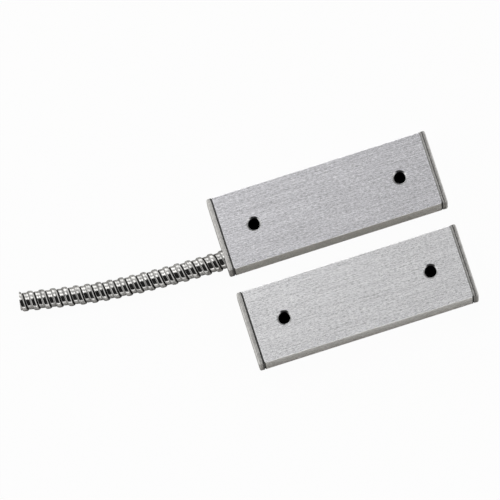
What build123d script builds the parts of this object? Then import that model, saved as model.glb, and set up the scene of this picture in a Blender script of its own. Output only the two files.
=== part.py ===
from build123d import *
import os
from math import pi, radians, tan

# Surface-mount magnetic contact: a switch half with an armoured lead, and the magnet half that works it.
# Sizes are in millimetres. The halves lie side by side on their fixing faces, the switch half at +Y.
# The origin is the middle of the pair on the fixing plane, with X along the housings and Z up. The lead
# leaves towards -X.

# Housings, the same for both halves
body_length = 95.25
body_width = 31.75
body_height = 12.7
wall = 1.6
edge_radius = 0.25
cavity_radius = 0.8
halves_gap = 10.0

# End plates and the seam that the resin fills between them and the channel
plate_thickness = 2.1
plate_chamfer = 0.45
step_depth = 0.8
step_clearance = 0.2
step_foot = 1.5
seam = 0.4
seam_recess = 0.3
resin_recess = 0.25

# Screw holes
hole_spacing = 63.5
hole_diameter = 5.0
countersink_diameter = 6.3
countersink_angle = 90.0

# Armoured lead: its section, its hole in the end plate and the collar that holds it behind the plate
collar_clearance = 0.15
collar_wall = 0.4
collar_length = 5.0
crimp_places = (1 / 3, 2 / 3)
crimp_width = 0.9
crimp_depth = 0.15
lead_hole_clearance = 0.1
armour_bore_share = 0.675
armour_tail = 2.5
bush_flange = 0.8
bush_barrel = 3.0
bush_rim = 0.2
bush_clearance = 0.15

# Conductors
wire_share = 0.308
core_diameter = 0.76
wire_spacing = 0.1
wire_setback = 1.0
bare_length = 0.9
lane_gap = 1.2
lane_start = 4.5
lane_rise = 8.0
lane_return = 7.5
lane_tail = 1.5
lane_insulated = 0.55

# Reed switch
reed_length = 54.0
blade_diameter = 0.8
round_share = 0.499
paddle_width = 1.5
paddle_thickness = 0.4
paddle_corner = 0.15
paddle_taper = 1.2
paddle_overlap = 1.4
contact_gap = 0.15
glass_diameter = 2.6
glass_wall = 0.35
glass_length = 19.6
glass_seal = 2.1
glass_end_radius = 0.8
cavity_end_radius = 0.5
sleeve_wall = 0.45
sleeve_clearance = 0.05
sleeve_length = 22.0
solder_length = 3.6
solder_cover = 0.5
solder_roundness = 0.75
solder_inset = 0.5

# Magnet
magnet_length = 50.8
magnet_width = 9.5
magnet_height = 6.35
magnet_chamfer = 0.4
magnet_wall_gap = 1.0

# The lead's route outside the plate: how far out, how far towards +Y, and the share of the drop to come
corner_share = 0.45
lead_route = [
    (9.0, 0.0, 1.0),
    (32.4, 1.35, 0.4),
    (52.4, 3.25, 0.0),
    (69.6, 6.3, 0.0),
    (86.3, 9.8, 0.0),
]

# Places worked out from the sizes
channel_length = body_length - 2 * (plate_thickness + seam)
cavity_width = body_width - 2 * wall
cavity_height = body_height - wall
half_offset = (body_width + halves_gap) / 2

# The lead's axis is at half the height, and as far in from the side that faces the magnet half, so that
# its collar clears both walls alike
lead_height = body_height / 2
lead_y = lead_height - body_width / 2
collar_diameter = 2 * (cavity_height - lead_height - collar_clearance)
armour_diameter = collar_diameter - 2 * collar_wall
armour_bore = armour_bore_share * armour_diameter
lead_hole_diameter = armour_diameter + 2 * lead_hole_clearance
bush_diameter = armour_diameter - 2 * bush_rim
exit_x = -body_length / 2
step_x = exit_x + plate_thickness + seam + step_depth
armour_end = step_x + collar_length + armour_tail
bush_end = armour_end + bush_flange
wire_diameter = wire_share * armour_bore
wire_offset = (wire_diameter + wire_spacing) / 2
sleeve_diameter = glass_diameter + 2 * (sleeve_clearance + sleeve_wall)
lane_offset = sleeve_diameter / 2 + wire_diameter / 2 + lane_gap
solder_middle = reed_length / 2 - solder_inset - solder_length / 2


def along_x(x):
    """Plane across the housing at x, with its own x along Y and its own y along Z."""
    return Plane(origin=(x, 0, 0), x_dir=(0, 1, 0), z_dir=(1, 0, 0))


def rod(diameter, start, end, y=0.0, z=0.0):
    """Round bar along X from start to end."""
    return extrude(along_x(start) * Pos(y, z) * Circle(diameter / 2), amount=end - start)


def block(width, low, high, corner):
    """Section of the given width between two heights, with its two upper corners rounded."""
    section = Pos(0, (low + high) / 2) * Rectangle(width, high - low)
    if corner > 0:
        section = fillet(section.vertices().group_by(Axis.Y)[-1], corner)
    return section


def screw_holes(low, high):
    """The two straight screw holes between two heights."""
    depth = high - low
    bore = Cylinder(hole_diameter / 2, depth)
    return [Pos(x, 0, low + depth / 2) * bore for x in (-hole_spacing / 2, hole_spacing / 2)]


def channel():
    """U channel of one half, open at the fixing face, with its two countersunk screw holes."""
    outside = block(body_width, 0, body_height, edge_radius)
    inside = block(cavity_width, -wall, cavity_height, cavity_radius)
    solid = extrude(along_x(0) * (outside - inside), amount=channel_length / 2, both=True)
    sink_depth = (countersink_diameter - hole_diameter) / 2 / tan(radians(countersink_angle / 2))
    sink = Cone(hole_diameter / 2, countersink_diameter / 2, sink_depth)
    for x in (-hole_spacing / 2, hole_spacing / 2):
        solid -= Pos(x, 0, body_height - sink_depth / 2) * sink
    for hole in screw_holes(0, body_height):
        solid -= hole
    return solid


def plate_step(side):
    """The end plate's step that reaches through the seam into the channel. side is -1 or 1 along X."""
    width = cavity_width - 2 * step_clearance
    section = block(width, step_foot, cavity_height - step_clearance, cavity_radius)
    reach = seam + step_depth
    start = side * (body_length / 2 - plate_thickness)
    return extrude(along_x(start) * section, amount=-side * reach)


def end_plate(side, lead_hole=False):
    """End plate with its locating step, and the hole that the lead leaves by."""
    section = block(body_width, 0, body_height, 0)
    plate = extrude(along_x(side * body_length / 2) * section, amount=-side * plate_thickness)
    outer_face = plate.faces().sort_by(Axis.X)[0 if side < 0 else -1]
    plate = chamfer(outer_face.edges(), plate_chamfer)
    plate += plate_step(side)
    if lead_hole:
        plate -= rod(lead_hole_diameter, exit_x, step_x, lead_y, lead_height)
    return plate


def resin(pieces):
    """Potting of one half: channel, seams and screw hole linings, cast round the pieces it holds."""
    fill = block(cavity_width, resin_recess, cavity_height, cavity_radius)
    solid = extrude(along_x(0) * fill, amount=channel_length / 2, both=True)
    film = block(body_width - 2 * seam_recess, resin_recess, body_height - seam_recess, edge_radius)
    for side in (-1, 1):
        solid += extrude(along_x(side * channel_length / 2) * film, amount=side * seam)
        solid -= plate_step(side)
    for piece in [*screw_holes(resin_recess, cavity_height), *pieces]:
        solid -= piece
    return solid


def turns(points):
    """Turn at each inner point of a route, in degrees, with the shorter of its two runs."""
    found = []
    for before, here, after in zip(points, points[1:], points[2:]):
        first = Vector(*here) - Vector(*before)
        second = Vector(*after) - Vector(*here)
        found.append((first.get_angle(second), min(first.length, second.length)))
    return found


def corner_radii(points):
    """Largest radii that a route's runs allow."""
    return [corner_share * run / tan(radians(turn / 2)) for turn, run in turns(points)]


def sweep_round(points, radii, outside, inside=0.0):
    """Round bar or tube along straight runs joined by tangent arcs, and its centreline."""
    path = FilletPolyline(*points, radius=radii)
    section = Circle(outside / 2)
    if inside > 0:
        section -= Circle(inside / 2)
    return sweep((path ^ 0) * section, path=path), path


def lead_points():
    """The armour's route from its inner end to its cut end."""
    rest = armour_diameter / 2
    points = [(armour_end, lead_y, lead_height)]
    for out, across, share in lead_route:
        points.append((exit_x - out, lead_y + across, rest + share * (lead_height - rest)))
    return points


def conductor(side, insulated, bare):
    """Insulation, core and filled insulation of one conductor.

    It runs above (side 1) or below (side -1) the lead's axis and follows the lead into the housing.
    insulated and bare are its (x, y) points in there, from the end of the insulation and the end of the
    core back to the lead. The two share all of them but the first ones.
    """
    height = lead_height + side * wire_offset
    outer = [Vector(x, y, z + side * wire_offset) for x, y, z in lead_points()[1:]]
    last = outer[-1] - outer[-2]
    outer[-1] = outer[-2] + last.normalized() * (last.length - wire_setback)
    outer = [(p.X, p.Y, p.Z) for p in outer]
    cover_points = [(x, y, height) for x, y in insulated] + outer
    core_points = [(x, y, height) for x, y in bare] + outer
    radii = corner_radii(core_points[: len(bare) + 1]) + corner_radii(lead_points())
    print("wire radii", [round(r, 1) for r in radii])
    shapes = []
    for points, outside, inside in (
        (cover_points, wire_diameter, core_diameter),
        (core_points, core_diameter, 0.0),
        (cover_points, wire_diameter, 0.0),
    ):
        corners = len(points) - 2
        solid, path = sweep_round(points, radii[-corners:], outside, inside)
        section = pi / 4 * (outside**2 - inside**2)
        print("wire volume %.2f, section times length %.2f" % (solid.volume, section * path.length))
        shapes.append(solid)
    return shapes


def blade(side):
    """Reed blade: a round lead, flattened inside the glass to a paddle. side is -1 or 1 along X."""
    cavity_end = glass_length / 2 - glass_seal
    flat_from = cavity_end - cavity_end_radius
    flat_at = flat_from - paddle_taper
    lift = -side * (contact_gap + paddle_thickness) / 2
    round_end = RectangleRounded(blade_diameter, blade_diameter, round_share * blade_diameter)
    flat_end = along_x(side * flat_at) * Pos(0, lift)
    flat_end *= RectangleRounded(paddle_width, paddle_thickness, paddle_corner)
    taper = loft([along_x(side * flat_from) * round_end, flat_end])
    paddle = extrude(flat_end, amount=-side * (flat_at + paddle_overlap / 2))
    lead = rod(blade_diameter, side * flat_from, side * reed_length / 2)
    return Pos(0, lead_y, lead_height) * (lead + taper + paddle)


def glass():
    """Sealed capsule, closed on the two leads."""
    shell = rod(glass_diameter, -glass_length / 2, glass_length / 2)
    shell = fillet(shell.edges().filter_by(GeomType.CIRCLE), glass_end_radius)
    half = glass_length / 2 - glass_seal
    hollow = rod(glass_diameter - 2 * glass_wall, -half, half)
    hollow = fillet(hollow.edges().filter_by(GeomType.CIRCLE), cavity_end_radius)
    leads = rod(blade_diameter, -glass_length / 2, glass_length / 2)
    return Pos(0, lead_y, lead_height) * (shell - hollow - leads)


def solder(side):
    """Solder joint between a blade's lead and the conductor beside it, before they are cut out of it."""
    radius = (wire_offset + blade_diameter / 2 + core_diameter / 2) / 2 + solder_cover
    half = solder_length / 2
    bead = rod(2 * radius, -half, half)
    bead = fillet(bead.edges().filter_by(GeomType.CIRCLE), solder_roundness * radius)
    return Pos(side * solder_middle, lead_y, lead_height - side * wire_offset / 2) * bead


def collar():
    """Steel collar crimped on the armour, seated against the end plate's step."""
    ring = rod(collar_diameter, step_x, step_x + collar_length)
    for share in crimp_places:
        start = step_x + share * collar_length - crimp_width / 2
        end = start + crimp_width
        ring -= rod(collar_diameter, start, end) - rod(collar_diameter - 2 * crimp_depth, start, end)
    return Pos(0, lead_y, lead_height) * (ring - rod(armour_diameter, step_x, step_x + collar_length))


def bush():
    """Insulating bush in the armour's inner end."""
    bore = 2 * (wire_offset + wire_diameter / 2 + bush_clearance)
    solid = rod(bush_diameter, armour_end, bush_end)
    solid += rod(armour_bore, armour_end - bush_barrel, armour_end)
    return Pos(0, lead_y, lead_height) * (solid - rod(bore, armour_end - bush_barrel, bush_end))


def lead_and_wires():
    """Armour and the two conductors, with filled copies of the conductors to cut out of the resin."""
    points = lead_points()
    armour, path = sweep_round(points, corner_radii(points), armour_diameter, armour_bore)
    outside = path.length - (armour_end - exit_x)
    print("lead length %.1f mm, of which %.1f outside the plate" % (path.length, outside))
    print("lead radii", [round(r, 1) for r in corner_radii(points)])
    section = pi / 4 * (armour_diameter**2 - armour_bore**2)
    print("lead volume %.1f, section times length %.1f" % (armour.volume, section * path.length))
    # The near wire ends above its blade. The far one runs down a lane beside the reed and ends below its
    # own, and its insulation stops on the way in from the lane.
    lane = lead_y + lane_offset
    rise = bush_end + lane_start
    solder_start = solder_middle - solder_length / 2
    core_end = solder_middle + solder_length / 4
    tail = solder_start - lane_tail
    corners = [(tail - lane_return, lane), (rise + lane_rise, lane), (rise, lead_y)]
    stripped = (tail - lane_return * (1 - lane_insulated), lane - lane_offset * lane_insulated)
    near_stripped = -reed_length / 2 - bare_length
    near = conductor(1, [(near_stripped, lead_y)], [(solder_length / 4 - solder_middle, lead_y)])
    far = conductor(-1, [stripped, *corners], [(core_end, lead_y), (tail, lead_y), *corners])
    made = {
        "armour": armour,
        "wire_near_insulation": near[0],
        "wire_near_core": near[1],
        "wire_far_insulation": far[0],
        "wire_far_core": far[1],
    }
    return made, [near[2], near[1], far[2], far[1]]


def magnet():
    """Bar magnet against the top wall, along the side that faces the switch half."""
    bar = Box(magnet_length, magnet_width, magnet_height)
    bar = chamfer(bar.edges().filter_by(Axis.X), magnet_chamfer)
    y = cavity_width / 2 - magnet_wall_gap - magnet_width / 2
    return Pos(0, y, cavity_height - magnet_height / 2) * bar


def switch_half():
    """Every piece of the switch half, in its own place round the housing's middle."""
    wires, wire_solids = lead_and_wires()
    pieces = {
        "switch_housing": channel(),
        "switch_lead_plate": end_plate(-1, lead_hole=True),
        "switch_blank_plate": end_plate(1),
        "reed_glass": glass(),
        "reed_blade_near": blade(-1),
        "reed_blade_far": blade(1),
        "armour_collar": collar(),
        "armour_bush": bush(),
        **wires,
    }
    half = sleeve_length / 2
    sleeve = rod(sleeve_diameter, -half, half, lead_y, lead_height)
    sleeve_bore = sleeve_diameter - 2 * sleeve_wall
    pieces["reed_sleeve"] = sleeve - rod(sleeve_bore, -half, half, lead_y, lead_height)
    beads = {"near": solder(-1), "far": solder(1)}
    for name, bead in beads.items():
        joined = pieces["reed_blade_" + name] + pieces["wire_%s_core" % name]
        pieces["solder_joint_" + name] = bead - joined
    lead = rod(armour_diameter, step_x, armour_end, lead_y, lead_height)
    flange = rod(bush_diameter, armour_end, bush_end, lead_y, lead_height)
    passage = rod(lead_hole_diameter, exit_x, step_x, lead_y, lead_height)
    leads = rod(blade_diameter, -reed_length / 2, reed_length / 2, lead_y, lead_height)
    held = [passage, lead, flange, pieces["armour_collar"], sleeve, leads, *beads.values(), *wire_solids]
    pieces["switch_potting"] = resin(held)
    return pieces


def magnet_half():
    """Every piece of the magnet half, in its own place round the housing's middle."""
    bar = magnet()
    return {
        "magnet_housing": channel(),
        "magnet_near_plate": end_plate(-1),
        "magnet_far_plate": end_plate(1),
        "bar_magnet": bar,
        "magnet_potting": resin([bar]),
    }


os.makedirs("parts", exist_ok=True)
for side, half in ((1, switch_half()), (-1, magnet_half())):
    for name, solid in half.items():
        export_step(Pos(0, side * half_offset, 0) * solid, "parts/%s.step" % name)
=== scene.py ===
"""Looks of the surface-mount magnetic contact: aluminium halves and a strip-wound steel lead.

Sizes are in metres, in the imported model's own frame: X along the housings, Z up, the lead towards
-X. Where a comment or docstring says so they are in millimetres.
"""

import logging
import math
from dataclasses import dataclass
from enum import Enum
from typing import Any, Optional, Sequence, Union

import bmesh
import bpy
from mathutils import Matrix, Vector


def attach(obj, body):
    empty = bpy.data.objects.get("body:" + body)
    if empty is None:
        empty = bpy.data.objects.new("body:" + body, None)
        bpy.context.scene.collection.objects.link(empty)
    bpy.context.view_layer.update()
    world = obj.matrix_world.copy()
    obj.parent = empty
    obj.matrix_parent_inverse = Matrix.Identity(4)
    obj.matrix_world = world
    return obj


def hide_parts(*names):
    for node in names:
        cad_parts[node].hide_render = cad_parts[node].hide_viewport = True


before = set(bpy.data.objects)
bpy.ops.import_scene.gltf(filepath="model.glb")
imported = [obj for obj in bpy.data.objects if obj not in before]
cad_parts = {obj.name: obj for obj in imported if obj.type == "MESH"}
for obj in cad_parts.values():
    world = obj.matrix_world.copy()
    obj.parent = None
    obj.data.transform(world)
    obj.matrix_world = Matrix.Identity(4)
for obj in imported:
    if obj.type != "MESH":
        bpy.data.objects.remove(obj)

log = logging.getLogger("magnetic_contact")

MM = 0.001
WHITE = (1.0, 1.0, 1.0, 1.0)

# Between the halves' middles, and between a half's screw holes, in millimetres.
HALF_SPACING = 41.75
HOLE_SPACING = 63.5

Number = Union["Value", float, int]
Colour = tuple[float, float, float]
Place = tuple[float, float, float]
# Features of a noise in a metre, along X, Y and Z.
Stretch = tuple[float, float, float]
# Where something starts and where it ends, such as a smooth step.
Span = tuple[float, float]
# A direction in X and Y.
Way = tuple[float, float]
# How strong relief shows, and how deep it is in metres.
Relief = tuple[float, float]
# Points of the strip's section: place along the armour, and distance from its axis.
Section = Sequence[tuple[float, float]]
# A node's properties, and the values or links of its inputs.
Settings = Optional[dict[str, Any]]
Sockets = Optional[dict[Union[str, int], Any]]


def rgba(colour: Colour) -> tuple[float, float, float, float]:
    """Gives a colour its fourth number, full opacity."""
    return (colour[0], colour[1], colour[2], 1.0)


class Value:
    """A number inside a node tree. Python operators on it add Math nodes."""

    def __init__(self, graph: "Graph", socket: bpy.types.NodeSocket) -> None:
        """Keeps the socket that carries the number."""
        self.graph = graph
        self.socket = socket

    def _join(self, operation: str, first: Number, second: Number = 0.0) -> "Value":
        """Adds one Math node with an operation and two numbers, and gives its result."""
        return self.graph.add("Math", {"operation": operation}, {0: first, 1: second})

    def __add__(self, other: Number) -> "Value":
        """Sum."""
        return self._join("ADD", self, other)

    def __radd__(self, other: Number) -> "Value":
        """Sum with a plain number first."""
        return self._join("ADD", other, self)

    def __sub__(self, other: Number) -> "Value":
        """Difference."""
        return self._join("SUBTRACT", self, other)

    def __rsub__(self, other: Number) -> "Value":
        """Difference from a plain number."""
        return self._join("SUBTRACT", other, self)

    def __mul__(self, other: Number) -> "Value":
        """Product."""
        return self._join("MULTIPLY", self, other)

    def __rmul__(self, other: Number) -> "Value":
        """Product with a plain number first."""
        return self._join("MULTIPLY", other, self)

    def __truediv__(self, other: Number) -> "Value":
        """Quotient."""
        return self._join("DIVIDE", self, other)

    def __rtruediv__(self, other: Number) -> "Value":
        """Quotient of a plain number."""
        return self._join("DIVIDE", other, self)

    def __mod__(self, other: Number) -> "Value":
        """Remainder, never negative."""
        return self._join("FLOORED_MODULO", self, other)

    def __neg__(self) -> "Value":
        """Opposite."""
        return self._join("SUBTRACT", 0.0, self)

    def __abs__(self) -> "Value":
        """Size without its sign."""
        return self._join("ABSOLUTE", self)

    def floor(self) -> "Value":
        """Whole number below."""
        return self._join("FLOOR", self)

    def cosine(self) -> "Value":
        """Cosine of an angle in radians."""
        return self._join("COSINE", self)

    def sine(self) -> "Value":
        """Sine of an angle in radians."""
        return self._join("SINE", self)

    def root(self) -> "Value":
        """Square root."""
        return self._join("SQRT", self)

    def most(self, other: Number) -> "Value":
        """The larger of the two."""
        return self._join("MAXIMUM", self, other)

    def least(self, other: Number) -> "Value":
        """The smaller of the two."""
        return self._join("MINIMUM", self, other)

    def ease(self, low: float, high: float) -> "Value":
        """Smooth step, from 0 at the low end to 1 at the high end."""
        settings = {"interpolation_type": "SMOOTHSTEP"}
        return self.graph.add("MapRange", settings, {0: self, 1: low, 2: high, 3: 0.0, 4: 1.0})


class Graph:
    """A node tree that is written from Python."""

    def __init__(self, tree: bpy.types.NodeTree) -> None:
        """Takes the tree to write into, of a material, the world or a modifier."""
        self.tree = tree
        self.prefix = "GeometryNode" if tree.bl_idname == "GeometryNodeTree" else "ShaderNode"

    def node(self, kind: str, settings: Settings = None,
             sockets: Sockets = None) -> bpy.types.Node:
        """Adds a node.

        Args:
            kind: The node's type, without its prefix where that is the tree's own.
            settings: Properties, such as a Math node's operation, which are set first.
            sockets: Values or links of its inputs, by name or number.

        Returns:
            The node.
        """
        shared = {"Math", "MapRange", "SeparateXYZ", "CombineXYZ", "VectorMath", "Mix"}
        prefix = "ShaderNode" if kind in shared else self.prefix
        made = self.tree.nodes.new(kind if kind.startswith("NodeGroup") else prefix + kind)
        for name, value in (settings or {}).items():
            setattr(made, name, value)
        for key, value in (sockets or {}).items():
            self.feed(made.inputs[key], value)
        return made

    def feed(self, socket: bpy.types.NodeSocket, value: Any) -> None:
        """Links a value or socket to an input, or sets it.

        Args:
            socket: The input.
            value: A Value, a socket, or a plain number, colour, vector or object.
        """
        if isinstance(value, Value):
            value = value.socket
        if isinstance(value, bpy.types.NodeSocket):
            self.tree.links.new(value, socket)
        elif value is not None:
            socket.default_value = value

    def add(self, kind: str, settings: Settings = None, sockets: Sockets = None,
            out: Union[str, int] = 0) -> Value:
        """Adds a node and gives one of its outputs, with the arguments of node()."""
        return Value(self, self.node(kind, settings, sockets).outputs[out])

    def mix(self, share: Number, first: Any, second: Any) -> bpy.types.NodeSocket:
        """Blends two colours.

        Args:
            share: How much of the second one, 0 to 1.
            first: A colour or its socket.
            second: The other.

        Returns:
            The blended colour's socket.
        """
        made = self.node("Mix", {"data_type": "RGBA"}, {0: share})
        for socket, colour in ((made.inputs[6], first), (made.inputs[7], second)):
            self.feed(socket, rgba(colour) if isinstance(colour, tuple) else colour)
        return made.outputs[2]

    def split(self, vector: Any) -> list[Value]:
        """Gives a vector's X, Y and Z."""
        made = self.node("SeparateXYZ", None, {0: vector})
        return [Value(self, part) for part in made.outputs]

    def scale(self, vector: Any, factor: Number) -> bpy.types.NodeSocket:
        """Multiplies a vector, or a colour, which gets lighter or darker."""
        made = self.node("VectorMath", {"operation": "SCALE"}, {0: vector, "Scale": factor})
        return made.outputs[0]

    def vector(self, operation: str, first: Any, second: Any) -> bpy.types.NodeSocket:
        """Joins two vectors by an operation of the Vector Math node."""
        return self.node("VectorMath", {"operation": operation}, {0: first, 1: second}).outputs[0]


class Finish(Enum):
    """How a plain metal's surface was left: its roughness and the strength of its marks."""

    DRAWN = (0.28, 0.12)
    CAST = (0.22, 0.30)
    PLATED = (0.30, 0.15)
    GROUND = (0.50, 0.35)


def start_graph(owner: Union[bpy.types.Material, bpy.types.World]) -> Graph:
    """Empties the node tree of a material or the world, to be written anew."""
    owner.use_nodes = True
    owner.node_tree.nodes.clear()
    return Graph(owner.node_tree)


def new_object(name: str, data: Any) -> bpy.types.Object:
    """Makes an object of a mesh, curve, camera or lamp and puts it in the scene."""
    made = bpy.data.objects.new(name, data)
    bpy.context.scene.collection.objects.link(made)
    return made


def even(fineness: float) -> Stretch:
    """Gives a noise the same fineness, in features in a metre, along all three axes."""
    return (fineness, fineness, fineness)


class Coat:
    """A material with a Principled shader, while it is being made."""

    def __init__(self, name: str, metal: bool = False) -> None:
        """Starts the material.

        Args:
            name: The material's name.
            metal: Whether it is a metal.
        """
        self.material = bpy.data.materials.new(name)
        self.graph = start_graph(self.material)
        self.shader = self.graph.node("BsdfPrincipled", None, {"Metallic": float(metal)})
        self.graph.node("OutputMaterial", None, {"Surface": self.shader.outputs[0]})

    def noise(self, stretch: Stretch, detail: float) -> Value:
        """Noise on the piece's own coordinates.

        Args:
            stretch: Features in a metre along X, Y and Z.
            detail: The noise's detail.

        Returns:
            The noise, about 0.
        """
        place = self.graph.add("TexCoord", None, None, "Object")
        scaled = self.graph.add("Mapping", None, {"Vector": place, "Scale": stretch})
        sockets = {"Vector": scaled, "Scale": 1.0, "Detail": detail}
        return self.graph.add("TexNoise", None, sockets, "Fac") - 0.5

    def set(self, name: str, value: Any) -> None:
        """Sets or links one of the shader's inputs."""
        self.graph.feed(self.shader.inputs[name], value)

    def paint(self, colour: Any, bright: Value, rough: Value) -> None:
        """Gives the shader its roughness, and a colour times a brightness."""
        self.set("Base Color", self.graph.scale(colour, bright))
        self.set("Roughness", rough)

    def bump(self, height: Value, strength: float, depth: float) -> None:
        """Gives the shader relief. The depth is that of a height of 1, in metres."""
        sockets = {"Strength": strength, "Distance": depth, "Height": height}
        self.set("Normal", self.graph.add("Bump", None, sockets))


class Spot:
    """Where a point of a half is, in millimetres, the same for both halves.

    Attributes:
        along: Distance from the part's middle along X.
        across: Place across the half, from its middle.
        height: Height over the fixing face.
        rightward: 1 on the right of the part's middle and 0 on its left, where the lead is.
        eastward: Place along X from the nearest screw hole.
        farward: Place along Y from it.
        upward: How much the surface faces up, -1 to 1.
        endward: How much it faces an end, 0 to 1.
    """

    def __init__(self, graph: Graph) -> None:
        """Reads the piece's own coordinates and its surface's direction."""
        place = graph.split(graph.add("TexCoord", None, None, "Object"))
        x, y, z = (part / MM for part in place)
        self.along = abs(x)
        self.rightward = x.ease(-1.0, 1.0)
        self.across = abs(y) - HALF_SPACING / 2
        self.farward = y % HALF_SPACING - HALF_SPACING / 2
        self.eastward = x % HOLE_SPACING - HOLE_SPACING / 2
        self.height = z
        facing = graph.split(graph.add("NewGeometry", None, None, "Normal"))
        self.upward = facing[2]
        self.endward = abs(facing[0])

    def from_hole(self) -> Value:
        """Distance from the nearest screw hole's axis."""
        east = self.along - HOLE_SPACING / 2
        return (east * east + self.across * self.across).root()

    def towards(self, way: Way, reach: Value) -> Value:
        """Cosine of the angle, at the nearest screw hole, between a direction and the point."""
        return (way[0] * self.eastward + way[1] * self.farward) / reach


@dataclass(frozen=True)
class Countersink:
    """Painted light in the countersinks: a painted shadow on the upper side, under the rim, a
    painted glint on the right and a painted shade on the lower left.

    A way is where a mark lies, and a side is the span of the cosine to it.
    """

    painted_shadow_way: Way = (0.34, 0.94)
    glint_way: Way = (0.94, -0.34)
    shade_way: Way = (-0.94, -0.34)
    painted_shadow_side: Span = (0.66, 0.90)
    glint_side: Span = (0.35, 0.85)
    shade_side: Span = (0.20, 0.80)
    painted_shadow_depth: float = 0.93
    painted_shadow_raggedness: float = 0.5
    glint_gain: float = 0.16
    shade_depth: float = 0.35

    def brightness(self, spot: Spot, sink: Value, speck: Value) -> Value:
        """Gives the painted light and shade.

        Args:
            spot: Where the point is.
            sink: 1 in a countersink and 0 outside.
            speck: Noise about 0, for the painted shadow's ragged edge.

        Returns:
            What the metal's brightness is multiplied by.
        """
        reach = spot.from_hole()
        # A painted shadow on the upper side, where the rim would shade the countersink.
        ragged = spot.towards(self.painted_shadow_way, reach) + self.painted_shadow_raggedness * speck
        painted_shadow = ragged.ease(*self.painted_shadow_side) * sink
        # A painted glint on the right side and a painted shade on the lower left.
        glint = spot.towards(self.glint_way, reach).ease(*self.glint_side) * sink
        shade = spot.towards(self.shade_way, reach).ease(*self.shade_side) * sink
        marks = 1.0 + self.glint_gain * glint - self.shade_depth * shade
        return (1.0 - self.painted_shadow_depth * painted_shadow) * marks


@dataclass(frozen=True)
class BrushedAluminium:
    """Extruded channel with painted light: brushed top, mill-finish sides, edges, countersinks.

    The sides' colour, lighter than the top's, is partly their finish and partly painted light.
    The top's long edges are rougher, and they and the channel's ends by the seams get painted
    highlights. The countersinks get a painted shadow, a painted shade and a painted glint.

    Spans are in millimetres: across from a half's middle, up from the fixing face, along from the
    part's middle, and out from a screw hole's axis. That of facing up has no unit.
    """

    name: str
    colour: Colour = (0.69, 0.685, 0.71)
    side_colour_with_painted_light: Colour = (0.86, 0.845, 0.815)
    machined_colour: Colour = (0.78, 0.78, 0.78)
    roughness: float = 0.50
    side_roughness: float = 0.40
    fine_grain: Stretch = (700.0, 2600.0, 2600.0)
    hair_grain: Stretch = (2400.0, 4400.0, 4400.0)
    brush_grain: Stretch = (90.0, 6500.0, 6500.0)
    cloud_grain: Stretch = (45.0, 160.0, 160.0)
    speck_grain: Stretch = even(2400.0)
    contrast: float = 0.80
    hair_weight: float = 1.2
    brush_weight: float = 1.1
    cloud_weight: float = 0.06
    speck_weight: float = 0.5
    facing_up: Span = (0.75, 0.95)
    edge_across: Span = (15.45, 15.80)
    edge_up: Span = (12.30, 12.62)
    edge_highlight_gain: float = 0.40
    rim_along: Span = (44.60, 44.85)
    rim_highlight_gain: float = 0.25
    film_start: float = 45.125
    film_edge: Span = (0.0, 0.06)
    film_raggedness: float = 0.3
    film_depth: float = 0.93
    corner_across: Span = (15.0, 15.7)
    sink_out: Span = (3.10, 3.22)
    hair_roughness: float = 0.2
    sink_roughness: float = -0.04
    worn_roughness: float = 0.25
    film_roughness: float = 0.3
    hair_relief: float = 0.6
    brush_relief: float = 0.8
    relief: Relief = (1.0, 0.000008)

    def material(self) -> bpy.types.Material:
        """Builds the material."""
        coat = Coat(self.name, metal=True)
        spot = Spot(coat.graph)
        fine = coat.noise(self.fine_grain, 0.0)
        hair = coat.noise(self.hair_grain, 0.0)
        brush = coat.noise(self.brush_grain, 1.0)
        cloud = coat.noise(self.cloud_grain, 1.0)
        speck = coat.noise(self.speck_grain, 1.0)
        top = spot.upward.ease(*self.facing_up)
        sink = 1.0 - spot.from_hole().ease(*self.sink_out)
        # Along the top's long edges: a painted highlight, and rougher metal where the edges wear.
        worn_and_highlit = abs(spot.across).ease(*self.edge_across) * spot.height.ease(*self.edge_up)
        # At the channel's ends beside the seams: a painted highlight, broken up by specks.
        rim = spot.along.ease(*self.rim_along) * top
        corner = abs(spot.across).ease(*self.corner_across)
        ragged = spot.along - self.film_start + self.film_raggedness * (speck + corner)
        film = ragged.ease(*self.film_edge)
        grain = self.contrast * (fine + self.hair_weight * hair + self.brush_weight * brush)
        grain = grain + self.cloud_weight * cloud + self.speck_weight * speck * (1.0 - top)
        bright = 1.0 + grain + self.edge_highlight_gain * worn_and_highlit + self.rim_highlight_gain * rim * (speck + 0.5)
        bright = bright * (1.0 - self.film_depth * film)
        bright = bright * Countersink().brightness(spot, sink, speck)
        # The sides' colour, lighter than the top's, is partly their mill finish and partly painted
        # light.
        tone = coat.graph.mix(top, self.side_colour_with_painted_light, self.colour)
        tone = coat.graph.mix(sink, tone, self.machined_colour)
        rough = self.side_roughness + (self.roughness - self.side_roughness) * top
        rough = rough + self.hair_roughness * hair + self.sink_roughness * sink
        rough = rough + self.worn_roughness * worn_and_highlit + self.film_roughness * film
        coat.paint(tone, bright, rough)
        height = fine + self.hair_relief * hair + self.brush_relief * brush
        coat.bump(height * (1.0 - sink), *self.relief)
        return coat.material


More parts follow.
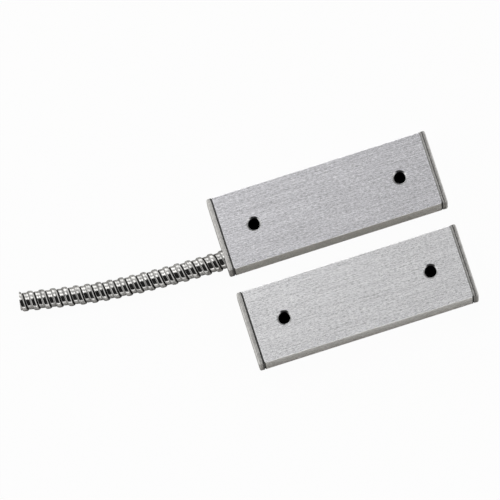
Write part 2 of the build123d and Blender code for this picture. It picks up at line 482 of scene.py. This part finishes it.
@dataclass(frozen=True)
class ShearedPlate:
    """Blanked end plate: its cut edges have a burnished band, a dark break line and a dull band.

    On the plates at the lead's end the resin's film lies over their inner edge and the outer band
    is dull. The others have a deeper break line. Spans are depths from the inner face in
    millimetres, but across is from a half's middle, and facing an end has no unit.
    """

    name: str
    colour: Colour = (0.545, 0.536, 0.518)
    roughness: float = 0.36
    roll_grain: Stretch = (2600.0, 500.0, 2600.0)
    speck_grain: Stretch = even(2100.0)
    roll_weight: float = 0.9
    speck_weight: float = 0.5
    left_gain: float = 0.12
    inner_face: float = 45.525
    facing_end: Span = (0.40, 0.60)
    raggedness: float = 0.25
    burnish_end: Span = (0.40, 0.55)
    burnish_gain: float = 0.35
    line_start: Span = (0.56, 0.68)
    line_end: Span = (0.88, 1.02)
    line_depth: float = 0.85
    left_line: float = 0.2
    dull_start: Span = (1.65, 1.95)
    dull_depth: float = 0.40
    corner_across: Span = (15.0, 15.7)
    film_reach: float = 0.02
    film_left: float = 0.42
    film_corner: float = 0.20
    film_raggedness: float = 0.4
    film_edge: Span = (-0.08, 0.0)
    film_depth: float = 0.9
    line_roughness: float = 0.12
    burnish_roughness: float = -0.06
    roll_roughness: float = 0.2
    relief: Relief = (0.8, 0.00002)

    def material(self) -> bpy.types.Material:
        """Builds the material."""
        coat = Coat(self.name, metal=True)
        spot = Spot(coat.graph)
        roll = coat.noise(self.roll_grain, 2.0)
        speck = coat.noise(self.speck_grain, 1.0)
        cut = 1.0 - spot.endward.ease(*self.facing_end)
        left = 1.0 - spot.rightward
        depth = spot.along - self.inner_face
        ragged = depth + self.raggedness * speck
        burnish = 1.0 - ragged.ease(*self.burnish_end)
        line = ragged.ease(*self.line_start) * (1.0 - ragged.ease(*self.line_end))
        line = line * (self.left_line + (1.0 - self.left_line) * spot.rightward)
        dull = ragged.ease(*self.dull_start) * left
        corner = abs(spot.across).ease(*self.corner_across)
        reach = self.film_reach + self.film_left * left + self.film_corner * corner
        reach = reach + self.film_raggedness * speck
        film = 1.0 - (depth - reach).ease(*self.film_edge)
        bright = 1.0 + self.roll_weight * roll + self.speck_weight * speck + self.left_gain * left
        marks = self.burnish_gain * burnish - self.line_depth * line - self.dull_depth * dull
        bright = bright * (1.0 + cut * marks) * (1.0 - self.film_depth * film)
        marks = self.line_roughness * line + self.burnish_roughness * burnish
        rough = self.roughness + marks * cut + self.roll_roughness * roll
        coat.paint(self.colour, bright, rough)
        coat.bump(roll + speck, *self.relief)
        return coat.material


@dataclass(frozen=True)
class WoundStrip:
    """Stainless strip: fine drawing lines along it, a lighter band by the lip, and painted shade
    in the groove beside the lip.

    Spans are in millimetres. The groove's are distances from the armour's axis, and the lip's and
    the lighter band's are places across the strip. A stretch is of features in a millimetre across
    the strip and in a turn along it.
    """

    name: str
    colour: Colour = (0.40, 0.395, 0.384)
    roughness: float = 0.15
    line_stretch: tuple[float, float] = (1.7, 4.0)
    band_stretch: tuple[float, float] = (1.1, 2.2)
    line_weight: float = 2.2
    band_weight: float = 0.8
    groove_bottom: Span = (3.00, 3.05)
    groove_top: Span = (3.36, 3.59)
    lip_foot: Span = (0.02, 0.10)
    groove_shade_depth: float = 0.92
    lip_band_start: Span = (0.10, 0.20)
    lip_band_end: Span = (0.34, 0.50)
    lip_band_gain: float = 0.15
    line_roughness: float = 0.15
    groove_roughness: float = 0.4
    band_relief: float = 0.6
    relief: Relief = (0.3, 0.00004)

    def material(self) -> bpy.types.Material:
        """Builds the material."""
        coat = Coat(self.name, metal=True)
        across = self.stored(coat.graph, "strip_across") / MM
        height = self.stored(coat.graph, "strip_height") / MM
        turn = self.stored(coat.graph, "strip_turn")
        lines = self.streak(across, turn, self.line_stretch)
        bands = self.streak(across, turn, self.band_stretch)
        # Painted shade in the groove at the lip's foot, which is also rougher.
        groove = (1.0 - height.ease(*self.groove_top)) * height.ease(*self.groove_bottom)
        groove = groove.most(1.0 - across.ease(*self.lip_foot))
        # A band beside the lip, a little lighter.
        lip_band = across.ease(*self.lip_band_start) * (1.0 - across.ease(*self.lip_band_end))
        bright = 1.0 + self.line_weight * lines + self.band_weight * bands
        bright = bright * (1.0 - self.groove_shade_depth * groove) + self.lip_band_gain * lip_band
        rough = self.line_roughness * abs(lines) + self.groove_roughness * groove
        coat.paint(self.colour, bright, self.roughness + rough)
        coat.bump(lines + self.band_relief * bands, *self.relief)
        return coat.material

    def stored(self, graph: Graph, name: str) -> Value:
        """Reads a number that the winding tree stored on the strip."""
        return graph.add("Attribute", {"attribute_name": name}, None, "Fac")

    def streak(self, across: Value, turn: Value, stretch: tuple[float, float]) -> Value:
        """Noise that is long along the strip.

        Args:
            across: Place across the strip in millimetres.
            turn: Place along it in turns.
            stretch: The noise's features in a unit of each.

        Returns:
            The noise, about 0.
        """
        graph = across.graph
        place = graph.add("CombineXYZ", None, {0: across * stretch[0], 1: turn * stretch[1]})
        noise = graph.add("TexNoise", None, {"Vector": place, "Scale": 1.0, "Detail": 2.0}, "Fac")
        return noise - 0.5


@dataclass(frozen=True)
class CastResin:
    """Black casting resin, satin with fine pits, and brushing dust on it in the seams.

    The dust's span is in millimetres over the fixing face.
    """

    name: str
    colour: Colour = (0.012, 0.012, 0.013)
    dust_colour: Colour = (0.50, 0.50, 0.49)
    roughness: float = 0.42
    wave_grain: Stretch = even(220.0)
    pit_grain: Stretch = even(2600.0)
    dusty_up: Span = (12.20, 12.35)
    left_dust: float = 0.20
    pitted_dust: float = 1.2
    wave_weight: float = 0.8
    pit_roughness: float = 0.2
    pit_relief: float = 0.3
    relief: Relief = (0.5, 0.0001)

    def material(self) -> bpy.types.Material:
        """Builds the material."""
        coat = Coat(self.name)
        spot = Spot(coat.graph)
        wave = coat.noise(self.wave_grain, 2.0)
        pits = coat.noise(self.pit_grain, 1.0)
        dust = self.left_dust + (1.0 - self.left_dust) * spot.rightward
        dust = spot.height.ease(*self.dusty_up) * dust * (1.0 + self.pitted_dust * pits)
        tone = coat.graph.mix(dust.least(1.0), self.colour, self.dust_colour)
        rough = self.roughness + self.pit_roughness * pits
        coat.paint(tone, 1.0 + self.wave_weight * wave, rough)
        coat.bump(wave + self.pit_relief * pits, *self.relief)
        return coat.material


@dataclass(frozen=True)
class Metal:
    """A plain metal with fine marks: blades, solder, copper, plated steel and magnet alloy."""

    name: str
    colour: Colour
    finish: Finish = Finish.DRAWN
    mark_grain: Stretch = even(900.0)
    cloud_grain: Stretch = even(108.0)
    shade_roughness: float = 0.2
    relief: float = 0.00003

    def material(self) -> bpy.types.Material:
        """Builds the material."""
        coat = Coat(self.name, metal=True)
        roughness, strength = self.finish.value
        mark = coat.noise(self.mark_grain, 3.0)
        cloud = coat.noise(self.cloud_grain, 1.0)
        shade = mark + cloud
        rough = roughness + self.shade_roughness * shade
        coat.paint(self.colour, 1.0 + strength * shade, rough)
        coat.bump(mark, strength, self.relief)
        return coat.material


@dataclass(frozen=True)
class Plastic:
    """Moulded or extruded plastic: wire insulation, bush and the reed's soft sleeve."""

    name: str
    colour: Colour
    roughness: float = 0.4
    skin_grain: Stretch = even(1800.0)
    cloud_grain: Stretch = even(150.0)
    cloud_weight: float = 0.2
    skin_roughness: float = 0.15
    relief: Relief = (0.2, 0.00003)

    def material(self) -> bpy.types.Material:
        """Builds the material."""
        coat = Coat(self.name)
        skin = coat.noise(self.skin_grain, 2.0)
        cloud = coat.noise(self.cloud_grain, 1.0)
        rough = self.roughness + self.skin_roughness * skin
        coat.paint(self.colour, 1.0 + self.cloud_weight * cloud, rough)
        coat.bump(skin, *self.relief)
        return coat.material


@dataclass(frozen=True)
class CapsuleGlass:
    """Green-tinted glass of the reed switch's capsule."""

    name: str
    colour: Colour = (0.80, 0.93, 0.85)
    roughness: float = 0.05
    cloud_grain: Stretch = even(300.0)
    cloud_weight: float = 0.1
    cloud_roughness: float = 0.04
    refraction: float = 1.5

    def material(self) -> bpy.types.Material:
        """Builds the material."""
        coat = Coat(self.name)
        cloud = coat.noise(self.cloud_grain, 1.0)
        rough = self.roughness + self.cloud_roughness * cloud
        coat.paint(self.colour, 1.0 + self.cloud_weight * cloud, rough)
        coat.set("Transmission Weight", 1.0)
        coat.set("IOR", self.refraction)
        return coat.material


def new_tree(name: str, inputs: Sequence[tuple[str, str]]) -> tuple[Graph, dict[str, Value]]:
    """Makes a Geometry Nodes tree with named inputs.

    Args:
        name: The tree's name.
        inputs: Each input's name and socket type, after the geometry.

    Returns:
        The tree's graph and its inputs by name.
    """
    tree = bpy.data.node_groups.new(name, "GeometryNodeTree")
    tree.interface.new_socket("Geometry", in_out="INPUT", socket_type="NodeSocketGeometry")
    for label, kind in inputs:
        tree.interface.new_socket(label, in_out="INPUT", socket_type="NodeSocket" + kind)
    tree.interface.new_socket("Geometry", in_out="OUTPUT", socket_type="NodeSocketGeometry")
    graph = Graph(tree)
    given = graph.node("NodeGroupInput").outputs
    return graph, {socket.name: Value(graph, socket) for socket in given if socket.name}


def end_tree(graph: Graph, geometry: Any, material: Any) -> None:
    """Ends a tree in Realize Instances and Set Material.

    Args:
        graph: The tree's graph.
        geometry: The socket with what it made.
        material: The group input's material socket.
    """
    real = graph.add("RealizeInstances", None, {0: geometry})
    dressed = graph.add("SetMaterial", None, {0: real, "Material": material})
    graph.node("NodeGroupOutput", None, {0: dressed})


def grow(name: str, mesh: bpy.types.Mesh, graph: Graph, values: dict[str, Any]) -> bpy.types.Mesh:
    """Runs a Geometry Nodes tree on a mesh.

    Args:
        name: The result's name.
        mesh: What the tree starts from.
        graph: The tree's graph.
        values: The tree's inputs by name.

    Returns:
        The tree's result as a plain mesh.
    """
    piece = new_object(name + "_start", mesh)
    modifier = piece.modifiers.new("tree", "NODES")
    modifier.node_group = graph.tree
    for item in graph.tree.interface.items_tree:
        if item.in_out == "INPUT" and item.name in values:
            modifier[item.identifier] = values[item.name]
    piece.update_tag()
    depsgraph = bpy.context.evaluated_depsgraph_get()
    depsgraph.update()
    made = bpy.data.meshes.new_from_object(piece.evaluated_get(depsgraph))
    made.name = name
    piece.modifiers.remove(modifier)
    bpy.data.objects.remove(piece)
    return made


def dress(names: Sequence[str], material: bpy.types.Material) -> None:
    """Gives CAD nodes a material.

    Args:
        names: The nodes.
        material: Their finish.
    """
    for name in names:
        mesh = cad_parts[name].data
        mesh.materials.clear()
        mesh.materials.append(material)
        log.info("dressed %s with %s", name, material.name)


@dataclass
class Lead:
    """The armoured lead: strip-wound steel conduit from inside the housing to its cut end.

    The sections are those of its two skins over one pitch, in millimetres.
    """

    route: Sequence[Place] = (
        (-0.036825, 0.01135, 0.00635),
        (-0.056625, 0.01135, 0.00635),
        (-0.080025, 0.01270, 0.00506),
        (-0.100025, 0.01460, 0.00420),
        (-0.117225, 0.01765, 0.00420),
        (-0.133925, 0.02115, 0.00420),
    )
    exit: Place = (-0.047625, 0.01135, 0.00635)
    length: float = 0.0979
    diameter: float = 0.0084
    pitch: float = 0.00482
    first_lip: float = 0.01533
    steps: int = 48
    curve_steps: int = 48
    weld_distance: float = 0.000002
    cut_distance: float = 1e-7
    rim_distance: float = 1e-5
    sharp_degrees: float = 38.0
    wires: Sequence[str] = (
        "wire_near_insulation", "wire_near_core", "wire_far_insulation", "wire_far_core",
    )
    outer_section: Section = (
        (0.00, 3.10), (0.00, 3.60), (0.03, 3.76), (0.10, 3.90), (0.22, 4.01), (0.38, 4.09),
        (0.58, 4.15), (0.85, 4.19), (1.15, 4.20), (1.45, 4.20), (1.72, 4.18), (1.92, 4.13),
        (2.08, 4.05), (2.22, 3.93), (2.33, 3.80), (2.43, 3.69), (2.53, 3.62), (2.68, 3.59),
        (3.10, 3.60), (3.60, 3.61), (4.00, 3.61), (4.18, 3.58), (4.28, 3.50), (4.34, 3.36),
        (4.38, 3.10), (4.82, 3.10),
    )
    inner_section: Section = (
        (0.00, 2.86), (1.60, 2.86), (1.75, 2.94), (3.20, 2.94), (3.35, 2.86), (4.82, 2.86),
    )

    def spline(self) -> bpy.types.Object:
        """Makes the route's NURBS spline, with no bevel."""
        curve = bpy.data.curves.new("lead_route", "CURVE")
        curve.dimensions = "3D"
        curve.resolution_u = self.curve_steps
        spline = curve.splines.new("NURBS")
        spline.points.add(len(self.route) - 1)
        for point, place in zip(spline.points, self.route):
            point.co = (*place, 1.0)
        spline.order_u = 3
        spline.use_endpoint_u = True
        return new_object("lead_route", curve)

    def points(self, spline: bpy.types.Object) -> list[Vector]:
        """Reads the points that the spline passes through.

        Args:
            spline: The route's object.

        Returns:
            The points from its inner end to its cut end.
        """
        depsgraph = bpy.context.evaluated_depsgraph_get()
        mesh = bpy.data.meshes.new_from_object(spline.evaluated_get(depsgraph))
        return [vertex.co.copy() for vertex in mesh.vertices]

    def winding_tree(self) -> Graph:
        """Builds the tree that winds a section into a straight helical skin along X."""
        graph, take = new_tree("wind_strip", (
            ("Section", "Object"), ("Section points", "Int"), ("Steps per turn", "Int"),
            ("Turns", "Int"), ("Pitch", "Float"), ("Start", "Float"), ("Material", "Material"),
        ))
        rows = take["Section points"]
        columns = take["Turns"] * take["Steps per turn"] + 1.0
        grid = graph.add("MeshGrid", None, {"Vertices X": columns, "Vertices Y": rows})
        index = graph.add("InputIndex")
        # The small addition keeps a whole quotient from falling below itself by rounding.
        step = (index / rows + 0.0001).floor()
        turn = step / take["Steps per turn"]
        sample = graph.add("SampleIndex", {"data_type": "FLOAT_VECTOR", "domain": "POINT"}, {
            "Geometry": graph.add("ObjectInfo", None, {"Object": take["Section"]}, "Geometry"),
            "Value": graph.add("InputPosition"),
            "Index": index % rows,
        })
        along, radius = graph.split(sample)[:2]
        angle = turn * (2.0 * math.pi)
        spot = graph.add("CombineXYZ", None, {
            0: take["Start"] + turn * take["Pitch"] + along,
            1: radius * angle.cosine(),
            2: radius * angle.sine(),
        })
        moved = graph.add("SetPosition", None, {"Geometry": grid, "Position": spot})
        stored = {"strip_across": along, "strip_turn": turn, "strip_height": radius}
        for name, value in stored.items():
            moved = graph.add("StoreNamedAttribute", {"data_type": "FLOAT", "domain": "POINT"}, {
                "Geometry": moved, "Name": name, "Value": value,
            })
        sockets = {"Geometry": moved, "Distance": self.weld_distance}
        end_tree(graph, graph.add("MergeByDistance", None, sockets), take["Material"])
        return graph

    def laying_tree(self) -> Graph:
        """Builds the tree that lays a straight piece along a route."""
        graph, take = new_tree("lay_along_route", (("Route", "Object"), ("Material", "Material")))
        info = graph.node("ObjectInfo", {"transform_space": "RELATIVE"}, {"Object": take["Route"]})
        upright = graph.add("SetCurveNormal", {"mode": "Z_UP"}, {0: info.outputs["Geometry"]})
        x, y, z = graph.split(graph.add("InputPosition"))
        settings = {"mode": "LENGTH", "use_all_curves": False}
        sockets = {"Curves": upright, "Length": x}
        sample = graph.node("SampleCurve", settings, sockets)
        across = sample.outputs["Normal"]
        down = graph.vector("CROSS_PRODUCT", sample.outputs["Tangent"], across)
        spot = sample.outputs["Position"]
        for way, reach in ((across, y), (down, z)):
            spot = graph.vector("ADD", spot, graph.scale(way, reach))
        moved = graph.add("SetPosition", None, {"Geometry": take["Geometry"], "Position": spot})
        end_tree(graph, moved, take["Material"])
        return graph

    def skin(self, name: str, section: Section, tree: Graph, material: bpy.types.Material,
             length: float) -> bpy.types.Mesh:
        """Winds one skin of the armour, a turn or more longer than it at both ends.

        Args:
            name: The mesh's name.
            section: The skin's section over one pitch.
            tree: The winding tree.
            material: The strip's finish.
            length: The armour's length.

        Returns:
            The straight skin.
        """
        mesh = bpy.data.meshes.new(name + "_section")
        mesh.from_pydata([(along * MM, radius * MM, 0.0) for along, radius in section], [], [])
        shape = new_object(name + "_section", mesh)
        before = math.ceil(self.first_lip / self.pitch) + 1
        turns = before + math.ceil((length - self.first_lip) / self.pitch) + 1
        made = grow(name, bpy.data.meshes.new(name + "_seed"), tree, {
            "Section": shape,
            "Section points": len(section),
            "Steps per turn": self.steps,
            "Turns": turns,
            "Pitch": self.pitch,
            "Start": self.first_lip - before * self.pitch,
            "Material": material,
        })
        bpy.data.objects.remove(shape)
        return made

    def trim(self, outer: bpy.types.Mesh, inner: bpy.types.Mesh, length: float) -> bpy.types.Mesh:
        """Cuts both skins square at the armour's ends and closes the wall between them.

        Args:
            outer: The outer skin.
            inner: The bore's skin.
            length: The armour's length.

        Returns:
            One closed mesh.
        """
        body = bmesh.new()
        body.from_mesh(outer)
        body.from_mesh(inner)
        ends = ((0.0, -1.0), (length, 1.0))
        for place, side in ends:
            bmesh.ops.bisect_plane(
                body, geom=body.verts[:] + body.edges[:] + body.faces[:], dist=self.cut_distance,
                plane_co=(place, 0.0, 0.0), plane_no=(side, 0.0, 0.0), clear_outer=True,
            )
        for place, side in ends:
            self.close(body, place, side)
        bmesh.ops.recalc_face_normals(body, faces=body.faces[:])
        open_edges = sum(1 for e in body.edges if e.is_boundary)
        log.info("armour: %d faces, %d open edges", len(body.faces), open_edges)
        made = bpy.data.meshes.new("armour_straight")
        body.to_mesh(made)
        body.free()
        return made

    def close(self, body: bmesh.types.BMesh, place: float, side: float) -> None:
        """Closes the wall between the skins at one end with a flat ring.

        Args:
            body: Both skins, cut square.
            place: The end's place along X.
            side: The end's direction along X, -1 or 1.
        """
        rim = [e for e in body.edges if e.is_boundary
               and all(abs(v.co.x - place) < self.rim_distance for v in e.verts)]
        normal = (side, 0.0, 0.0)
        filled = bmesh.ops.triangle_fill(body, edges=rim, use_beauty=True, normal=normal)
        faces = [f for f in filled["geom"] if isinstance(f, bmesh.types.BMFace)]
        area = sum(f.calc_area() for f in faces) / MM ** 2
        log.info("armour: wall at %.1f mm closed with %.1f square mm", place / MM, area)

    def build(self, finish: bpy.types.Material) -> None:
        """Args:
            finish: The strip's finish.
        """
        spline = self.spline()
        points = self.points(spline)
        length = sum((b - a).length for a, b in zip(points, points[1:]))
        winding = self.winding_tree()
        outer = self.skin("armour_outer", self.outer_section, winding, finish, length)
        inner = self.skin("armour_inner", self.inner_section, winding, finish, length)
        straight = self.trim(outer, inner, length)
        values = {"Route": spline, "Material": finish}
        mesh = grow("lead_armour", straight, self.laying_tree(), values)
        mesh.shade_smooth()
        mesh.set_sharp_from_angle(angle=math.radians(self.sharp_degrees))
        made = new_object("lead_armour", mesh)
        bpy.data.objects.remove(spline)
        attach(made, "root")
        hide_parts("armour")
        log.info("lead_armour: %.1f mm long, %d faces", length / MM, len(mesh.polygons))


@dataclass
class Housings:
    """Both halves' channels, end plates and potting."""

    channels: Sequence[str] = ("switch_housing", "magnet_housing")
    plates: Sequence[str] = (
        "switch_lead_plate", "switch_blank_plate", "magnet_near_plate", "magnet_far_plate",
    )
    pottings: Sequence[str] = ("switch_potting", "magnet_potting")
    magnet_painted_light_colour: Colour = (0.805, 0.803, 0.815)

    def build(self) -> None:
        """Dresses the pieces."""
        switch, magnet = self.channels
        dress([switch], BrushedAluminium("brushed_channel").material())
        # The magnet half's paler colour is painted light, standing in for more light on that half.
        dress([magnet], BrushedAluminium("paler_channel_painted_light", self.magnet_painted_light_colour).material())
        dress(self.plates, ShearedPlate("sheared_plate").material())
        dress(self.pottings, CastResin("black_resin").material())


@dataclass
class Inside:
    """What the potting holds: reed switch, solder joints, wires, lead's fixing and magnet."""

    blades: Sequence[str] = ("reed_blade_near", "reed_blade_far")
    joints: Sequence[str] = ("solder_joint_near", "solder_joint_far")
    cores: Sequence[str] = ("wire_near_core", "wire_far_core")

    def build(self) -> None:
        """Dresses the pieces."""
        for names, finish in (
            (["reed_glass"], CapsuleGlass("capsule_glass")),
            (self.blades, Metal("reed_alloy", (0.66, 0.62, 0.56))),
            (["reed_sleeve"], Plastic("soft_sleeve", (0.55, 0.55, 0.52), 0.55)),
            (self.joints, Metal("solder", (0.72, 0.72, 0.74), Finish.CAST)),
            (self.cores, Metal("tinned_copper", (0.78, 0.74, 0.68))),
            (["wire_near_insulation"], Plastic("white_insulation", (0.78, 0.77, 0.74))),
            (["wire_far_insulation"], Plastic("black_insulation", (0.02, 0.02, 0.02))),
            (["armour_collar"], Metal("plated_steel", (0.70, 0.70, 0.68), Finish.PLATED)),
            (["armour_bush"], Plastic("red_plastic", (0.45, 0.02, 0.015))),
            (["bar_magnet"], Metal("magnet_alloy", (0.36, 0.35, 0.34), Finish.GROUND)),
        ):
            dress(names, finish.material())


@dataclass(frozen=True)
class Surround:
    """The light by direction: even at both sides and a card, a bank and a front between them.

    The dark card hangs over the camera's side. The bank is bright light low at the far side, behind
    a dimmer stretch, and the front is bright light low at the near side. Spans are of the X, Y or Z
    of a direction with a length of 1.
    """

    side_centre: float = -0.10
    side_span: Span = (0.45, 0.70)
    side_level: float = 1.04
    middle_level: float = 0.95
    dip_start: Span = (0.34, 0.50)
    dip_end: Span = (0.74, 0.92)
    dip_depth: float = 0.22
    bank_start: Span = (0.74, 1.0)
    bank_gain: float = 1.15
    front_start: Span = (0.86, 0.97)
    front_gain: float = 0.99
    card_up: Span = (0.12, 0.28)
    card_end: Span = (0.14, 0.48)
    card_depth: float = 0.975

    def level(self, x: Value, y: Value, z: Value) -> Value:
        """Gives the light's level.

        Args:
            x: The direction's X, to the right.
            y: Its Y, away from the camera.
            z: Its Z, up.

        Returns:
            The level, about 1 where the light is even.
        """
        side = abs(x - self.side_centre).ease(*self.side_span)
        dip = y.ease(*self.dip_start) * (1.0 - y.ease(*self.dip_end))
        bank = y.ease(*self.bank_start)
        front = (-y).ease(*self.front_start)
        card = z.ease(*self.card_up) * (1.0 - y.ease(*self.card_end))
        middle = self.middle_level - self.dip_depth * dip
        middle = middle + self.bank_gain * bank + self.front_gain * front
        middle = middle * (1.0 - self.card_depth * card)
        return self.side_level * side + middle * (1.0 - side)


def from_halves(x: Value, y: Value, along: float, across: Span) -> Value:
    """Distance on the floor from the halves.

    Args:
        x: Place along X in millimetres.
        y: Place along Y.
        along: How far the halves reach along X from the part's middle.
        across: Where they start and end along Y, from it to either side.

    Returns:
        The distance in millimetres, below 0 under them.
    """
    return (abs(x) - along).most(abs(y) - across[1]).most(across[0] - abs(y))


@dataclass
class Studio:
    """Camera, pale floor and plain soft light.

    Under the halves the floor has a dark painted shade, and the camera doesn't see it white.
    Near the halves and the lead metal and glass don't see it white, a painted contact shade. The
    places for that are in millimetres. The lead's line on the floor is taken as a parabola.
    """

    camera_place: Place = (-0.10772, -0.55844, 2.61518)
    camera_look: Place = (0.026685, 0.213582, -0.976561)
    camera_up: Place = (0.302293, 0.929446, 0.211538)
    lens: float = 463.12
    floor_size: float = 30.0
    floor_colour: Colour = (0.618, 0.605, 0.582)
    seen_white: float = 0.965
    painted_shade_colour: Colour = (0.02, 0.02, 0.02)
    hidden_along: float = 47.0
    hidden_across: Span = (5.5, 36.3)
    mirrored_white: float = 0.48
    mirrored_from: Span = (3.0, 12.0)
    halves_along: float = 47.6
    halves_across: Span = (5.0, 36.75)
    lead_across: float = 11.35
    lead_bend: float = 0.00132
    lead_reach: float = 86.3
    lead_radius: float = 4.2
    light_level: float = 1.15
    lamp_place: Place = (-0.18, 0.22, 0.47)
    lamp_size: float = 0.25
    lamp_power: float = 0.37

    def camera(self) -> None:
        """Makes the camera at the photograph's place and angle."""
        data = bpy.data.cameras.new("camera")
        data.sensor_width = 36.0
        data.lens = self.lens
        data.clip_start = 0.05
        data.clip_end = 100.0
        made = new_object("camera", data)
        look = Vector(self.camera_look).normalized()
        right = look.cross(Vector(self.camera_up)).normalized()
        up = right.cross(look)
        turn = Matrix((right, up, -look)).transposed()
        made.matrix_world = Matrix.Translation(self.camera_place) @ turn.to_4x4()
        bpy.context.scene.camera = made

    def floor(self) -> None:
        """Makes the floor, which is seen white and keeps the object's shadow."""
        half = self.floor_size / 2.0
        mesh = bpy.data.meshes.new("floor")
        corners = [(-half, -half, 0.0), (half, -half, 0.0), (half, half, 0.0), (-half, half, 0.0)]
        mesh.from_pydata(corners, [], [(0, 1, 2, 3)])
        mesh.materials.append(self.floor_material())
        made = new_object("floor", mesh)

    def floor_material(self) -> bpy.types.Material:
        """Builds the floor's material, a matt surface with a share of white light.

        The share depends on whether the camera sees the floor or a surface mirrors it. What metal
        and glass see fades from white near the halves and the lead, a painted contact shade.
        """
        material = bpy.data.materials.new("pale_floor")
        graph = start_graph(material)
        place = graph.split(graph.add("TexCoord", None, None, "Object"))
        x, y = (part / MM for part in place[:2])
        hidden = (-from_halves(x, y, self.hidden_along, self.hidden_across)).ease(0.0, 1.0)
        # Metal and glass see the floor white only away from the object: a painted contact shade
        # near it.
        away = self.mirrored_white * self.from_object(x, y).ease(*self.mirrored_from)
        ray = graph.node("LightPath")
        seen = Value(graph, ray.outputs["Is Camera Ray"]) * self.seen_white * (1.0 - hidden)
        mirrored = Value(graph, ray.outputs["Is Glossy Ray"]) * away
        through = Value(graph, ray.outputs["Is Transmission Ray"]) * away
        share = (seen + mirrored + through).least(1.0)
        # Under the halves the floor gets a dark painted shade.
        colour = graph.mix(hidden, self.floor_colour, self.painted_shade_colour)
        matt = graph.add("BsdfDiffuse", None, {"Color": colour})
        white = graph.add("Emission", None, {"Color": WHITE, "Strength": 1.0})
        mixed = graph.add("MixShader", None, {0: share, 1: matt, 2: white})
        graph.node("OutputMaterial", None, {"Surface": mixed})
        return material

    def from_object(self, x: Value, y: Value) -> Value:
        """Distance on the floor from the halves and the lead, about.

        Args:
            x: Place along X in millimetres.
            y: Place along Y.

        Returns:
            The distance in millimetres, below 0 under them.
        """
        out = -self.halves_along - x
        line = self.lead_across + self.lead_bend * out * out
        lead = (abs(y - line) - self.lead_radius).most(-out).most(out - self.lead_reach)
        return from_halves(x, y, self.halves_along, self.halves_across).least(lead)

    def world(self) -> None:
        """Lights the scene from its surround, which the camera itself sees white."""
        world = bpy.data.worlds.new("studio")
        bpy.context.scene.world = world
        graph = start_graph(world)
        direction = graph.split(graph.add("TexCoord", None, None, "Generated"))
        level = Surround().level(*direction)
        ray = graph.add("LightPath", None, None, "Is Camera Ray")
        strength = ray + (1.0 - ray) * level * self.light_level
        white = graph.add("Background", None, {"Color": WHITE, "Strength": strength})
        graph.node("OutputWorld", None, {"Surface": white})

    def lamp(self) -> None:
        """Makes a square lamp that looks at the object and isn't seen itself."""
        data = bpy.data.lights.new("left_window", "AREA")
        data.size = self.lamp_size
        data.energy = self.lamp_power
        made = new_object("left_window", data)
        made.location = self.lamp_place
        made.rotation_euler = (-Vector(self.lamp_place)).to_track_quat("-Z", "Y").to_euler()
        made.visible_camera = False

    def build(self) -> None:
        """Makes the camera, floor and light."""
        self.camera()
        self.floor()
        self.world()
        self.lamp()
        bpy.context.scene.view_settings.view_transform = "Standard"


def main() -> None:
    """Builds the scene in order."""
    logging.basicConfig(level=logging.INFO, format="%(name)s: %(message)s")
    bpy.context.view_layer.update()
    Studio().build()
    Lead().build(WoundStrip("stainless_strip").material())
    Housings().build()
    Inside().build()


if __name__ == "__main__":
    main()
